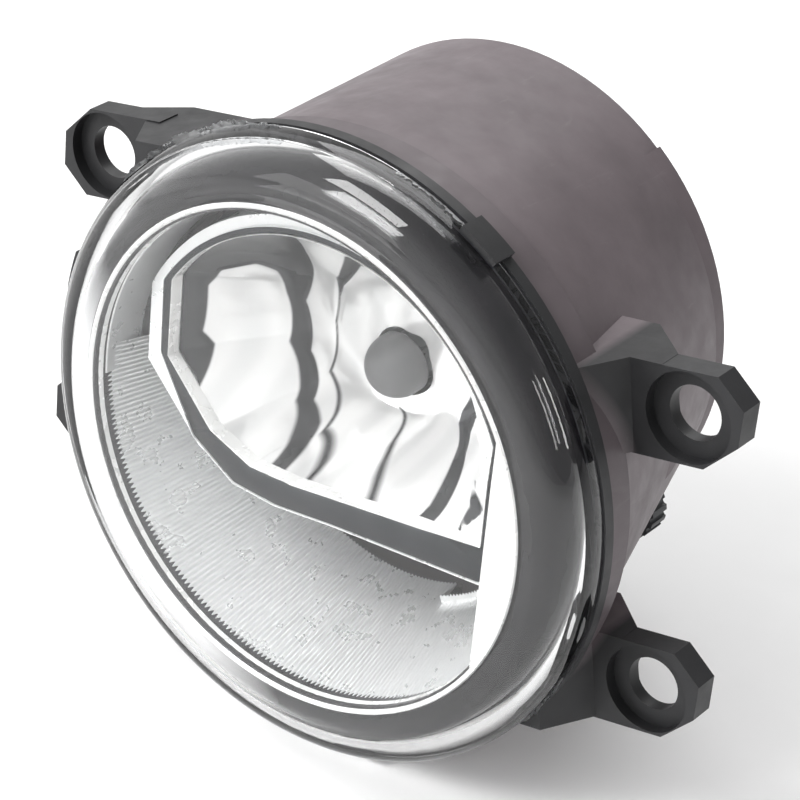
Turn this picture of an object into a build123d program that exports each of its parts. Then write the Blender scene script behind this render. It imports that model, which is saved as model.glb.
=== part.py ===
"""Round automotive fog light with an adjustable reflector and a twist-lock bulb.

Frame: millimetres, +Z up, the lens looks along -Y. The origin is the middle of the four
mounting holes, on the rear face of the mounting tabs.
"""
from build123d import *
from math import cos, sin, sqrt, radians
import os

os.makedirs("parts", exist_ok=True)

# ---------------------------------------------------------------- driving dimensions
seam_y = -15.0           # plane where lens and housing meet
axis_z = -1.1            # height of the lens axis against the origin
seam_radius = 50.0       # outer radius of lens and housing flanges
wall = 2.0

lens_wall = 1.6
lens_edge_radius = 42.8  # where the rounded skirt meets the front face
lens_edge_y = seam_y - 8.0
lens_crown = 3.0         # rise of the front face at its middle

hole_spacing_x = 108.5
hole_spacing_z = 46.5
hole_radius = 4.25
recess_radius = 7.0
recess_depth = 2.0
tab_thickness = 4.2
arm_slope = 11.0         # degrees that every arm leans, rising to the right

collar_radius = 48.2
collar_back = seam_y + 10.0
can_front_radius = 46.9
can_rear_radius = 39.8
can_rear_y = seam_y + 54.5
cavity_front_radius = 44.9
rear_shift_x = -5.6      # the rear of the can is set over and up from the lens axis
rear_shift_z = 5.6

bulb_x = -3.0            # the bulb stands between the lens axis and the can's rear
bulb_z = axis_z + 4.0    # reflector, pivot and bulb share this height
bulb_tip_y = seam_y + 17.0
bulb_seat_y = seam_y + 61.5
filament_y = seam_y + 38.5
focal_length = 6.5
neck_radius = 14.0
neck_bore = 9.0

pivot_y = seam_y + 30.0
pin_radius = 2.0
bush_radius = 4.0
rear_opening_radius = 24.0

screw_x = 21.0
screw_z = axis_z - 26.7
screw_radius = 2.2
nut_y = seam_y + 25.0
gap = 0.3


# ---------------------------------------------------------------- helpers
def at_y(y):
    """Sketch plane at depth y, X across and Z up; it extrudes towards the lens."""
    return Plane.XZ.offset(-y)


def at_x(x):
    """Sketch plane at x, with Y and Z as its axes; it extrudes towards +X."""
    return Plane.YZ.offset(x)


def y_axis(x, z):
    return Axis((x, 0, z), (0, 1, 0))


def rod(radius, x_from, x_to, y, z, bore=0.0, mode=Mode.ADD):
    """Cylinder or tube with its axis along X, inside the current part."""
    with BuildSketch(at_x(x_from)) as section:
        with Locations((y, z)):
            Circle(radius)
            if bore:
                Circle(bore, mode=Mode.SUBTRACT)
    extrude(section.sketch, amount=x_to - x_from, mode=mode)


def disc(radius, y_front, y_back, x=0.0, z=axis_z, bore=0.0, mode=Mode.ADD):
    """Disc or ring with its axis along Y, inside the current part."""
    with BuildSketch(at_y(y_back)) as section:
        with Locations((x, z)):
            Circle(radius)
            if bore:
                Circle(bore, mode=Mode.SUBTRACT)
    extrude(section.sketch, amount=y_back - y_front, mode=mode)


def block(x_range, y_range, z_range, mode=Mode.ADD):
    """Box between two corners, inside the current part."""
    middle = tuple(sum(r) / 2 for r in (x_range, y_range, z_range))
    size = [r[1] - r[0] for r in (x_range, y_range, z_range)]
    with Locations(middle):
        Box(*size, mode=mode)


def finish(part, label):
    """Label a finished piece and write it."""
    part.label = label
    export_step(part, f"parts/{label}.step")
    print(label, round(part.volume, 1))


# ---------------------------------------------------------------- lens
lens_crown_y = lens_edge_y - lens_crown
skirt_root_y = seam_y - 1.2
skirt_inner_radius = seam_radius - 2.6
face_radius = (lens_edge_radius**2 + lens_crown**2) / (2 * lens_crown)


def face_y(r, crown_y):
    """Depth of the gently domed front face at radius r."""
    return crown_y + face_radius - sqrt(face_radius**2 - r * r)


with BuildPart() as lens:
    with BuildSketch(Plane.XY.offset(axis_z)):
        with BuildLine():
            skirt_out = EllipticalCenterArc(
                (lens_edge_radius, skirt_root_y),
                seam_radius - lens_edge_radius,
                skirt_root_y - lens_edge_y,
                start_angle=270,
                arc_size=90,
            )
            inner_edge_radius = lens_edge_radius - 1.0
            inner_edge_y = face_y(inner_edge_radius, lens_crown_y + lens_wall)
            skirt_in = EllipticalCenterArc(
                (inner_edge_radius, skirt_root_y),
                skirt_inner_radius - inner_edge_radius,
                skirt_root_y - inner_edge_y,
                start_angle=270,
                arc_size=90,
            )
            half = lens_edge_radius / 2
            ThreePointArc(
                skirt_out @ 0,
                (half, face_y(half, lens_crown_y)),
                (0, lens_crown_y),
            )
            Line((0, lens_crown_y), (0, lens_crown_y + lens_wall))
            ThreePointArc(
                (0, lens_crown_y + lens_wall),
                (half, face_y(half, lens_crown_y + lens_wall)),
                skirt_in @ 0,
            )
            Polyline(
                skirt_in @ 1,
                (skirt_inner_radius, seam_y + 0.6),
                (seam_radius, seam_y + 0.6),
                skirt_out @ 1,
            )
        make_face()
    revolve(axis=y_axis(0, axis_z))
finish(lens.part, "lens")

# ---------------------------------------------------------------- seam seal and clips
with BuildPart() as lens_seal:
    disc(seam_radius - 0.5, seam_y + 0.6, seam_y + 1.2, bore=seam_radius - 3.4)
finish(lens_seal.part, "lens_seal")

clip_angles = (61, 168, 285)
clip_span = 8
clip_reach = 1.0
with BuildPart() as lens_clips:
    for angle in clip_angles:
        start = angle - clip_span / 2
        with BuildSketch(at_y(seam_y + 3.2)):
            with BuildLine():
                for radius in (seam_radius, seam_radius + clip_reach):
                    CenterArc((0, axis_z), radius, start, clip_span)
                for end in (start, start + clip_span):
                    Line(
                        (
                            seam_radius * cos(radians(end)),
                            axis_z + seam_radius * sin(radians(end)),
                        ),
                        (
                            (seam_radius + clip_reach) * cos(radians(end)),
                            axis_z + (seam_radius + clip_reach) * sin(radians(end)),
                        ),
                    )
            make_face()
        extrude(amount=4.4)
finish(lens_clips.part, "lens_clips")

# ---------------------------------------------------------------- housing
rear_x = rear_shift_x
rear_z = axis_z + rear_shift_z
cavity_rear_radius = can_rear_radius - wall
rear_wall_y = can_rear_y - wall
boss_radius = bush_radius + 2.0
bush_inner_x = 33.5
bush_outer_x = 38.0
boss_inner_x = 33.0
boss_outer_left = 45.6
boss_outer_right = 40.4
vent_x = -31.0
vent_z = axis_z - 16.5
screw_boss_radius = 4.4
screw_boss_front = nut_y + 6.0
screw_boss_back = can_rear_y - 1.5
seal_radius = screw_radius + 1.05
seal_y = screw_boss_back - 4.0
hole_places = [
    (sx * hole_spacing_x / 2, sz * hole_spacing_z / 2)
    for sx in (-1, 1)
    for sz in (-1, 1)
]


def tab_outline(side):
    """Corners of one tab end about its hole; the left ones are turned half round."""
    corners = [
        (-10.5, 5.3),
        (3.7, 8.2),
        (8.5, 4.6),
        (8.5, -1.2),
        (3.6, -6.8),
        (-10.5, -9.7),
    ]
    return [(side * x, side * z) for x, z in corners]


def arm_plan(side):
    """Plan outline of the arm from the collar to the tab, measured from its hole."""
    back = 7.5 if side > 0 else 4.0
    points = [
        (-24, seam_y + 3.2),
        (-14, seam_y + 3.2),
        (-9.3, -tab_thickness),
        (-4, -tab_thickness),
        (-4, 0),
        (-12, back),
        (-24, back),
    ]
    return [(side * x, y) for x, y in points]


with BuildPart() as housing:
    disc(seam_radius, seam_y + 1.2, seam_y + 3.2)
    disc(collar_radius, seam_y + 3.2, collar_back)
    with BuildSketch(at_y(collar_back)):
        with Locations((0, axis_z)):
            Circle(can_front_radius)
    with BuildSketch(at_y(can_rear_y)):
        with Locations((rear_x, rear_z)):
            Circle(can_rear_radius)
    loft()
    # raised rear band, on the right side only
    with BuildSketch(at_y(can_rear_y)):
        with Locations((rear_x, rear_z)):
            Circle(can_rear_radius + 0.6)
        with Locations((rear_x + 24 - 100, rear_z)):
            Rectangle(200, 200, mode=Mode.SUBTRACT)
    extrude(amount=4.5)
    # arms and tabs
    for hole_x, hole_z in hole_places:
        side = 1 if hole_x > 0 else -1
        slope = radians(arm_slope)
        arm_plane = Plane(
            origin=(hole_x, 0, hole_z),
            x_dir=(cos(slope), 0, sin(slope)),
            z_dir=(-sin(slope), 0, cos(slope)),
        )
        with BuildSketch(arm_plane):
            with BuildLine():
                Polyline(*arm_plan(side), close=True)
            make_face()
        extrude(amount=7.3, both=True)
        with BuildSketch(at_y(0)):
            with Locations((hole_x, hole_z)):
                Polygon(*tab_outline(side), align=None)
        extrude(amount=tab_thickness)
    # hollow inside
    disc(cavity_front_radius, seam_y, collar_back, mode=Mode.SUBTRACT)
    with BuildSketch(at_y(collar_back)):
        with Locations((0, axis_z)):
            Circle(cavity_front_radius)
    with BuildSketch(at_y(rear_wall_y)):
        with Locations((rear_x, rear_z)):
            Circle(cavity_rear_radius)
    loft(mode=Mode.SUBTRACT)
    # boss that carries the adjuster screw through the wall
    disc(screw_boss_radius, screw_boss_front, screw_boss_back, x=screw_x, z=screw_z)
    # rear neck with the bulb opening, and the vent tube
    disc(rear_opening_radius + 3, can_rear_y, can_rear_y + 3, x=bulb_x, z=bulb_z)
    disc(rear_opening_radius, rear_wall_y - 1, can_rear_y + 3, x=bulb_x, z=bulb_z, mode=Mode.SUBTRACT)
    disc(4, can_rear_y, can_rear_y + 5.5, x=vent_x, z=vent_z)
    disc(2, rear_wall_y - 1, can_rear_y + 5.5, x=vent_x, z=vent_z, mode=Mode.SUBTRACT)
    # pivot bosses on the side walls
    rod(boss_radius, -boss_outer_left, -boss_inner_x, pivot_y, bulb_z)
    rod(boss_radius, boss_inner_x, boss_outer_right, pivot_y, bulb_z)
    rod(bush_radius, -bush_outer_x, -boss_inner_x, pivot_y, bulb_z, mode=Mode.SUBTRACT)
    rod(bush_radius, boss_inner_x, bush_outer_x, pivot_y, bulb_z, mode=Mode.SUBTRACT)
    # lugs that take the bezel screws
    for angle in (90, 205, 335):
        lug_x = 42.0 * cos(radians(angle))
        lug_z = axis_z + 42.0 * sin(radians(angle))
        disc(3.2, seam_y + 11.0, seam_y + 19.0, x=lug_x, z=lug_z)
        disc(1.2, seam_y + 11.0, seam_y + 18.0, x=lug_x, z=lug_z, mode=Mode.SUBTRACT)
    # mounting holes, their seats, and the adjuster screw's bore
    for hole_x, hole_z in hole_places:
        disc(hole_radius, -tab_thickness - 1, 1, x=hole_x, z=hole_z, mode=Mode.SUBTRACT)
        seat_y = recess_depth - tab_thickness
        disc(recess_radius, -tab_thickness - 1, seat_y, x=hole_x, z=hole_z, mode=Mode.SUBTRACT)
    disc(
        screw_radius + 0.05,
        screw_boss_front - 1,
        can_rear_y + 0.5,
        x=screw_x,
        z=screw_z,
        mode=Mode.SUBTRACT,
    )
    disc(
        seal_radius + 0.05,
        seal_y - 0.2,
        seal_y + 1.6,
        x=screw_x,
        z=screw_z,
        mode=Mode.SUBTRACT,
    )
finish(housing.part, "housing")

with BuildPart() as pivot_bushes:
    for start in (-bush_outer_x, bush_inner_x):
        rod(bush_radius, start, start + bush_outer_x - bush_inner_x, pivot_y, bulb_z,
            bore=pin_radius + 0.05)
finish(pivot_bushes.part, "pivot_bushes")

# ---------------------------------------------------------------- vent
with BuildPart() as vent_cap:
    disc(6.2, can_rear_y + 0.8, can_rear_y + 7.5, x=vent_x, z=vent_z)
    disc(4, can_rear_y, can_rear_y + 5.5, x=vent_x, z=vent_z, mode=Mode.SUBTRACT)
    for angle in (0, 90, 180, 270):
        disc(
            0.8,
            can_rear_y,
            can_rear_y + 5.5,
            x=vent_x + 4.4 * cos(radians(angle)),
            z=vent_z + 4.4 * sin(radians(angle)),
            mode=Mode.SUBTRACT,
        )
finish(vent_cap.part, "vent_cap")

with BuildPart() as vent_membrane:
    disc(2.0, can_rear_y + 4.5, can_rear_y + 5.5, x=vent_x, z=vent_z)
finish(vent_membrane.part, "vent_membrane")

# ---------------------------------------------------------------- bezel
rim_y = lens_edge_y + 2.0
rim_radius = 40.5
bezel_wall = 1.3
waist_y = seam_y
waist_radius = 39.2      # inside of the bezel level with the seam
tail_y = seam_y + 22.0
tail_radius = 32.0
chord_x = 35.0
bezel_flange_y = seam_y + 9.6
bezel_flange_radius = 44.2


def bezel_inner_radius(y):
    """Inside radius of the bezel's rear cone at depth y."""
    return waist_radius + (tail_radius - waist_radius) * (y - waist_y) / (tail_y - waist_y)


with BuildPart() as bezel:
    with BuildSketch(Plane.XY.offset(axis_z)):
        with BuildLine():
            Polyline(
                (rim_radius - 1.3, rim_y),
                (rim_radius, rim_y),
                (rim_radius, rim_y + 2),
                (waist_radius + bezel_wall, waist_y),
                (bezel_inner_radius(bezel_flange_y) + bezel_wall, bezel_flange_y),
                (bezel_flange_radius, bezel_flange_y),
                (bezel_flange_radius, bezel_flange_y + 1.4),
                (bezel_inner_radius(bezel_flange_y + 1.4) + bezel_wall, bezel_flange_y + 1.4),
                (tail_radius + bezel_wall, tail_y),
                (tail_radius, tail_y),
                (waist_radius, waist_y),
                close=True,
            )
        make_face()
    revolve(axis=y_axis(0, axis_z))
    with BuildSketch(at_y(rim_y + 1.5)) as segment:
        with Locations((0, axis_z)):
            Circle(rim_radius - 0.8)
        with Locations((chord_x - 100, axis_z)):
            Rectangle(200, 200, mode=Mode.SUBTRACT)
    extrude(segment.sketch, amount=1.5)
    for angle in (90, 205, 335):
        lug_x = 42.0 * cos(radians(angle))
        lug_z = axis_z + 42.0 * sin(radians(angle))
        disc(1.6, bezel_flange_y - 1, bezel_flange_y + 2, x=lug_x, z=lug_z, mode=Mode.SUBTRACT)
    # the rear cone is cut away above the reflector's lip, where the reflector swings
    with BuildSketch(at_y(tail_y + 1)) as swing_room:
        with Locations((0, axis_z)):
            Circle(37.8)
        with Locations((0, axis_z + 48.0)):
            Rectangle(100, 100, mode=Mode.INTERSECT)
    extrude(swing_room.sketch, amount=tail_y - seam_y - 3.0, mode=Mode.SUBTRACT)
    # notch that clears the adjuster
    block(
        (screw_x - 7.5, screw_x + 7.5),
        (bezel_flange_y + 3.0, tail_y + 1),
        (screw_z - 8.0, screw_z + 10.5),
        mode=Mode.SUBTRACT,
    )
finish(bezel.part, "bezel")

with BuildPart() as bezel_screws:
    for angle in (90, 205, 335):
        lug_x = 42.0 * cos(radians(angle))
        lug_z = axis_z + 42.0 * sin(radians(angle))
        disc(2.2, bezel_flange_y - 1.6, bezel_flange_y, x=lug_x, z=lug_z)
        disc(1.2, bezel_flange_y, seam_y + 17.0, x=lug_x, z=lug_z)
finish(bezel_screws.part, "bezel_screws")

# ---------------------------------------------------------------- reflector
lip_y = seam_y - 0.5
lip_depth = 5.0
dish_top_radius = 34.2
dish_left_x = -29.5
dish_right_x = 31.0
apex_y = filament_y + focal_length
neck_front_y = seam_y + 36.0
collar_seat_y = bulb_seat_y - 8.0
dish_wall = 2.0
ear_inner_x = 17.0
ear_outer_x = 27.0


def dish_outline():
    """Opening of the reflector: round top, straight sides, floor rising to the right."""
    with BuildLine() as edge:
        left_top = (dish_left_x, axis_z + sqrt(dish_top_radius**2 - dish_left_x**2))
        right_top = (dish_right_x, axis_z + sqrt(dish_top_radius**2 - dish_right_x**2))
        ThreePointArc(left_top, (0, axis_z + dish_top_radius), right_top)
        Polyline(
            right_top,
            (dish_right_x, axis_z - 2.9),
            (-4.0, axis_z - 8.0),
            (-12.0, axis_z - 8.3),
            (-20.0, axis_z - 5.4),
            (dish_left_x, axis_z + 4.0),
            left_top,
        )
    make_face(edge.edges())


def parabola_point(r, wall_thickness):
    """Depth where the dish, or its outside, has radius r."""
    return apex_y - (r - wall_thickness) ** 2 / (4 * focal_length)


bulb_plan = Plane(origin=(bulb_x, 0, bulb_z), x_dir=(1, 0, 0), z_dir=(0, 0, 1))


def paraboloid(wall_thickness, mode):
    """Turned paraboloid with its focus at the filament, filled to the lip."""
    edge_r = 40.0
    edge_y = parabola_point(edge_r, wall_thickness)
    middle_r = 26.0
    with BuildSketch(bulb_plan) as section:
        with BuildLine() as edge:
            start = (wall_thickness, apex_y)
            middle = (middle_r, parabola_point(middle_r, wall_thickness))
            Spline(
                start,
                (14.0, parabola_point(14.0, wall_thickness)),
                middle,
                (edge_r, edge_y),
            )
            Polyline((edge_r, edge_y), (0, edge_y), (0, apex_y), start)
        make_face(edge.edges())
    revolve(section.sketch, axis=y_axis(bulb_x, bulb_z), mode=mode)


with BuildPart() as dish_hollow:
    paraboloid(0.01, Mode.ADD)
    with BuildSketch(at_y(apex_y + 1)) as opening:
        dish_outline()
        fillet(opening.vertices(), radius=2.5)
    extrude(opening.sketch, amount=apex_y + 1 - lip_y + 1, mode=Mode.INTERSECT)

with BuildPart() as reflector:
    paraboloid(dish_wall, Mode.ADD)
    with BuildSketch(at_y(apex_y + 3)) as body_section:
        dish_outline()
        offset(amount=2.2, kind=Kind.INTERSECTION)
    extrude(body_section.sketch, amount=apex_y + 3 - lip_y, mode=Mode.INTERSECT)
    with BuildSketch(at_y(lip_y + 1.8)) as lip_section:
        dish_outline()
        offset(amount=4.4, kind=Kind.INTERSECTION)
        with Locations((0, axis_z)):
            Circle(dish_top_radius + 2.4, mode=Mode.INTERSECT)
            Rectangle(2 * dish_right_x + 4.8, 100, mode=Mode.INTERSECT)
    extrude(lip_section.sketch, amount=1.8)
    disc(neck_radius, neck_front_y, collar_seat_y, x=bulb_x, z=bulb_z)
    rod(5.0, ear_inner_x, ear_outer_x, pivot_y, bulb_z)
    rod(5.0, -ear_outer_x, -ear_inner_x, pivot_y, bulb_z)
    arm_low = screw_z + 6.0
    block((screw_x - 2.5, screw_x + 2.5), (seam_y + 8, nut_y + 1.8), (axis_z - 9, axis_z - 3))
    block((screw_x - 2.5, screw_x + 2.5), (nut_y - 1.8, nut_y + 1.8), (arm_low + 4, axis_z - 8))
    block((screw_x - 2.5, screw_x + 2.5), (nut_y - 4.0, nut_y + 4.0), (arm_low, arm_low + 6))
    add(dish_hollow.part, mode=Mode.SUBTRACT)
    disc(neck_bore, neck_front_y - 6, collar_seat_y, x=bulb_x, z=bulb_z, mode=Mode.SUBTRACT)
    rod(pin_radius, ear_outer_x - 4.0, ear_outer_x, pivot_y, bulb_z, mode=Mode.SUBTRACT)
    rod(pin_radius, -ear_outer_x, 4.0 - ear_outer_x, pivot_y, bulb_z, mode=Mode.SUBTRACT)
    slot_half = 2.0 + gap
    block(
        (screw_x - 3, screw_x + 3),
        (nut_y - slot_half, nut_y + slot_half),
        (arm_low - 1, arm_low + 4.6),
        mode=Mode.SUBTRACT,
    )
finish(reflector.part, "reflector")

with BuildPart() as pivot_pins:
    rod(pin_radius, ear_outer_x - 4.0, bush_outer_x - 0.5, pivot_y, bulb_z)
    rod(pin_radius, 0.5 - bush_outer_x, 4.0 - ear_outer_x, pivot_y, bulb_z)
finish(pivot_pins.part, "pivot_pins")

# ---------------------------------------------------------------- aiming adjuster
screw_tip_y = nut_y - 7.0
with BuildPart() as adjuster_nut:
    disc(4.0, nut_y - 3.0, nut_y + 3.0, x=screw_x, z=screw_z)
    block((screw_x - 1.2, screw_x + 1.2), (nut_y - 1.2, nut_y + 1.2), (screw_z + 3, screw_z + 8))
    rod(2.0, screw_x - 2.5, screw_x + 2.5, nut_y, screw_z + 8.0)
    disc(screw_radius + 0.05, nut_y - 4, nut_y + 4, x=screw_x, z=screw_z, mode=Mode.SUBTRACT)
finish(adjuster_nut.part, "adjuster_nut")

wheel_front = can_rear_y + 0.8
wheel_back = wheel_front + 4.0
with BuildPart() as adjuster_screw:
    disc(screw_radius, screw_tip_y, wheel_back + 1.0, x=screw_x, z=screw_z)
    disc(
        screw_radius,
        seal_y,
        seal_y + 1.4,
        x=screw_x,
        z=screw_z,
        bore=screw_radius - 0.7,
        mode=Mode.SUBTRACT,
    )
finish(adjuster_screw.part, "adjuster_screw")

wheel_teeth = 16
wheel_radius = 5.4
with BuildPart() as adjuster_wheel:
    disc(wheel_radius, wheel_front, wheel_back, x=screw_x, z=screw_z)
    with BuildSketch(at_y(wheel_back)) as notches:
        with Locations((screw_x, screw_z)):
            with PolarLocations(wheel_radius, wheel_teeth):
                Circle(0.55)
    extrude(notches.sketch, amount=wheel_back - wheel_front, mode=Mode.SUBTRACT)
    disc(screw_radius, wheel_front, wheel_back, x=screw_x, z=screw_z, mode=Mode.SUBTRACT)
finish(adjuster_wheel.part, "adjuster_wheel")

with BuildPart() as adjuster_seal:
    disc(
        seal_radius,
        seal_y,
        seal_y + 1.4,
        x=screw_x,
        z=screw_z,
        bore=screw_radius - 0.7,
    )
finish(adjuster_seal.part, "adjuster_seal")

clip_y = screw_boss_front - gap
with BuildPart() as adjuster_clip:
    disc(3.4, clip_y - 0.7, clip_y, x=screw_x, z=screw_z, bore=screw_radius)
finish(adjuster_clip.part, "adjuster_clip")

# ---------------------------------------------------------------- rear boot
boot_front = can_rear_y - 1.0
boot_back = can_rear_y + 6.0
with BuildPart() as rear_boot:
    disc(rear_opening_radius, boot_front, can_rear_y + 3, x=bulb_x, z=bulb_z, bore=rear_opening_radius - 2)
    disc(
        rear_opening_radius + 3,
        can_rear_y + 3,
        can_rear_y + 4.5,
        x=bulb_x,
        z=bulb_z,
        bore=rear_opening_radius - 4,
    )
    disc(rear_opening_radius - 2.5, can_rear_y + 4.5, boot_back, x=bulb_x, z=bulb_z, bore=neck_radius + 1.8)
finish(rear_boot.part, "rear_boot")

# ---------------------------------------------------------------- bulb collar and bulb
lug_y = bulb_seat_y - 5.6
lug_angles = (30, 150, 270)
lock_turn = 45
with BuildPart() as bulb_collar:
    disc(neck_radius, collar_seat_y, bulb_seat_y, x=bulb_x, z=bulb_z)
    disc(neck_bore, collar_seat_y - 1, bulb_seat_y + 1, x=bulb_x, z=bulb_z, mode=Mode.SUBTRACT)
    disc(12.2, collar_seat_y + 1.0, bulb_seat_y - 3.6, x=bulb_x, z=bulb_z, mode=Mode.SUBTRACT)
    disc(11.6, bulb_seat_y - 2.2, bulb_seat_y + 1, x=bulb_x, z=bulb_z, mode=Mode.SUBTRACT)
    disc(9.9, bulb_seat_y - 4, bulb_seat_y + 1, x=bulb_x, z=bulb_z, mode=Mode.SUBTRACT)
    # keyways that the bulb's lugs pass through before the bulb is turned
    for angle in lug_angles:
        key_plane = Plane(
            origin=(bulb_x, bulb_seat_y - 4.0, bulb_z),
            x_dir=(cos(radians(angle - lock_turn)), 0, sin(radians(angle - lock_turn))),
            z_dir=(0, 1, 0),
        )
        with BuildSketch(key_plane) as keyway:
            with Locations((9.0, 0)):
                Rectangle(6.4, 5.8)
        extrude(keyway.sketch, amount=2.0, mode=Mode.SUBTRACT)
finish(bulb_collar.part, "bulb_collar")

socket_half_x = 9.5
socket_y = bulb_seat_y + 8.0
with BuildPart() as bulb_base:
    disc(8.6, lug_y - 1.2, bulb_seat_y + 1, x=bulb_x, z=bulb_z)
    disc(9.6, bulb_seat_y - 3.8, bulb_seat_y, x=bulb_x, z=bulb_z)
    disc(13.6, bulb_seat_y + 0.05, bulb_seat_y + 2.4, x=bulb_x, z=bulb_z)
    disc(10.5, bulb_seat_y + 2.4, bulb_seat_y + 12.0, x=bulb_x, z=bulb_z)
    for angle in lug_angles:
        lug_plane = Plane(
            origin=(bulb_x, lug_y, bulb_z),
            x_dir=(cos(radians(angle)), 0, sin(radians(angle))),
            z_dir=(0, 1, 0),
        )
        with BuildSketch(lug_plane) as lug:
            with Locations((9.6, 0)):
                Rectangle(4.2, 5.0)
        extrude(lug.sketch, amount=1.6)
    block(
        (bulb_x - socket_half_x, bulb_x + socket_half_x),
        (socket_y - 5.5, socket_y + 5.5),
        (bulb_z - 27.0, bulb_z),
    )
    block(
        (bulb_x - socket_half_x + 1.6, bulb_x + socket_half_x - 1.6),
        (socket_y - 4.0, socket_y + 4.0),
        (bulb_z - 28.0, bulb_z - 14.0),
        mode=Mode.SUBTRACT,
    )
    disc(7.9, lug_y - 2, bulb_seat_y - 1.0, x=bulb_x, z=bulb_z, mode=Mode.SUBTRACT)
    disc(9.7, bulb_seat_y - 2.0, bulb_seat_y + 0.05, x=bulb_x, z=bulb_z, bore=9.0, mode=Mode.SUBTRACT)
    for side in (-1, 1):
        block(
            (bulb_x + side * 5.0 - 1.4, bulb_x + side * 5.0 + 1.4),
            (socket_y - 0.4, socket_y + 0.4),
            (bulb_z - 15.0, bulb_z - 8.0),
            mode=Mode.SUBTRACT,
        )
finish(bulb_base.part, "bulb_base")

with BuildPart() as bulb_terminals:
    for side in (-1, 1):
        block(
            (bulb_x + side * 5.0 - 1.4, bulb_x + side * 5.0 + 1.4),
            (socket_y - 0.4, socket_y + 0.4),
            (bulb_z - 24.0, bulb_z - 8.0),
        )
finish(bulb_terminals.part, "bulb_terminals")

with BuildPart() as bulb_seal_ring:
    disc(11.5, bulb_seat_y - 2.0, bulb_seat_y + 0.0, x=bulb_x, z=bulb_z, bore=9.0)
finish(bulb_seal_ring.part, "bulb_seal_ring")

glass_radius = 5.1
glass_wall = 0.9
cup_y = lug_y - 6.0
with BuildPart() as bulb_cup:
    disc(7.8, cup_y, bulb_seat_y - 1.0, x=bulb_x, z=bulb_z)
    disc(glass_radius, cup_y - 1, cup_y + 5.0, x=bulb_x, z=bulb_z, mode=Mode.SUBTRACT)
finish(bulb_cup.part, "bulb_cup")

tip_centre_y = bulb_tip_y + glass_radius
shade_back = bulb_tip_y + 6.5
with BuildPart() as bulb_glass:
    with BuildSketch(bulb_plan):
        with BuildLine():
            Polyline(
                (glass_radius - 0.35, shade_back),
                (glass_radius, shade_back),
                (glass_radius, cup_y + 5.0),
                (0, cup_y + 5.0),
                (0, cup_y + 1.0),
                (glass_radius - glass_wall, cup_y - 1.0),
                (glass_radius - glass_wall, tip_centre_y),
            )
            CenterArc((0, tip_centre_y), glass_radius - glass_wall, 0, -90)
            inner_tip = tip_centre_y - glass_radius + glass_wall
            outer_tip = tip_centre_y - glass_radius + 0.35
            Line((0, inner_tip), (0, outer_tip))
            CenterArc((0, tip_centre_y), glass_radius - 0.35, 0, -90)
            Line((glass_radius - 0.35, tip_centre_y), (glass_radius - 0.35, shade_back))
        make_face()
    revolve(axis=y_axis(bulb_x, bulb_z))
finish(bulb_glass.part, "bulb_glass")

with BuildPart() as bulb_tip_shade:
    with BuildSketch(bulb_plan):
        with BuildLine():
            Polyline(
                (glass_radius - 0.35, tip_centre_y),
                (glass_radius - 0.35, shade_back),
                (glass_radius, shade_back),
                (glass_radius, tip_centre_y),
            )
            CenterArc((0, tip_centre_y), glass_radius, 0, -90)
            Line((0, tip_centre_y - glass_radius), (0, tip_centre_y - glass_radius + 0.35))
            CenterArc((0, tip_centre_y), glass_radius - 0.35, 0, -90)
        make_face()
    revolve(axis=y_axis(bulb_x, bulb_z))
finish(bulb_tip_shade.part, "bulb_tip_shade")

filament_length = 4.5
with BuildPart() as bulb_filament:
    disc(0.8, filament_y - filament_length / 2, filament_y + filament_length / 2, x=bulb_x, z=bulb_z)
finish(bulb_filament.part, "bulb_filament")

with BuildPart() as bulb_leads:
    front_y = filament_y - filament_length / 2
    back_y = filament_y + filament_length / 2
    disc(0.3, front_y - 0.6, cup_y - 0.6, x=bulb_x + 2.6, z=bulb_z)
    rod(0.3, bulb_x, bulb_x + 2.6, front_y - 0.3, bulb_z)
    disc(0.3, back_y, cup_y + 0.9, x=bulb_x, z=bulb_z)
finish(bulb_leads.part, "bulb_leads")
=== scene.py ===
"""Fog light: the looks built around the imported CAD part.

Shapes are laid out in the flange frame, in millimetres: x across, depth y from the seam plane and
height z from the lens axis. at() turns a point of it into a place in the scene, in metres.
"""
import math
import random

import bmesh
import bpy
from mathutils import Matrix, Vector


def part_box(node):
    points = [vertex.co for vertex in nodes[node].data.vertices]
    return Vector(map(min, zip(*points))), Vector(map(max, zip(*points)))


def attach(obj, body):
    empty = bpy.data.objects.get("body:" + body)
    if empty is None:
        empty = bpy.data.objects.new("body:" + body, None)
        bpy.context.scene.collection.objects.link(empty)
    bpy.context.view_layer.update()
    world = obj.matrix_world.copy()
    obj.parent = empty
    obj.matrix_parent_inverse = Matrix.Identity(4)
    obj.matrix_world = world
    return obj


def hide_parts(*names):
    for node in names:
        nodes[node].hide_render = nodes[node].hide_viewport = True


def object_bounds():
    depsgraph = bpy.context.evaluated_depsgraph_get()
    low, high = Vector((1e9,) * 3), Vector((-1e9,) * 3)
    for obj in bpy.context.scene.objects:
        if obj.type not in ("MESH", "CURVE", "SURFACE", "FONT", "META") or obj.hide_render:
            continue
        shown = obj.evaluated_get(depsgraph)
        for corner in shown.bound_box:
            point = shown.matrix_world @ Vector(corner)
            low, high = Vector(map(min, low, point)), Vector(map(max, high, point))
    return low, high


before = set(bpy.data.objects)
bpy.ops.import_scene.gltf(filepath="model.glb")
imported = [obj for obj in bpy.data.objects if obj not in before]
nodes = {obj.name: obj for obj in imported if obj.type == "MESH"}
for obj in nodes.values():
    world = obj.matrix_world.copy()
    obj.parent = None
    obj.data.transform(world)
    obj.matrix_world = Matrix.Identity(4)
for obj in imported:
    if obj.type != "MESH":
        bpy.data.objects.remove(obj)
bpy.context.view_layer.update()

lens_low, lens_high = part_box("lens")
axis_z = (lens_low.z + lens_high.z) / 2
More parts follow.
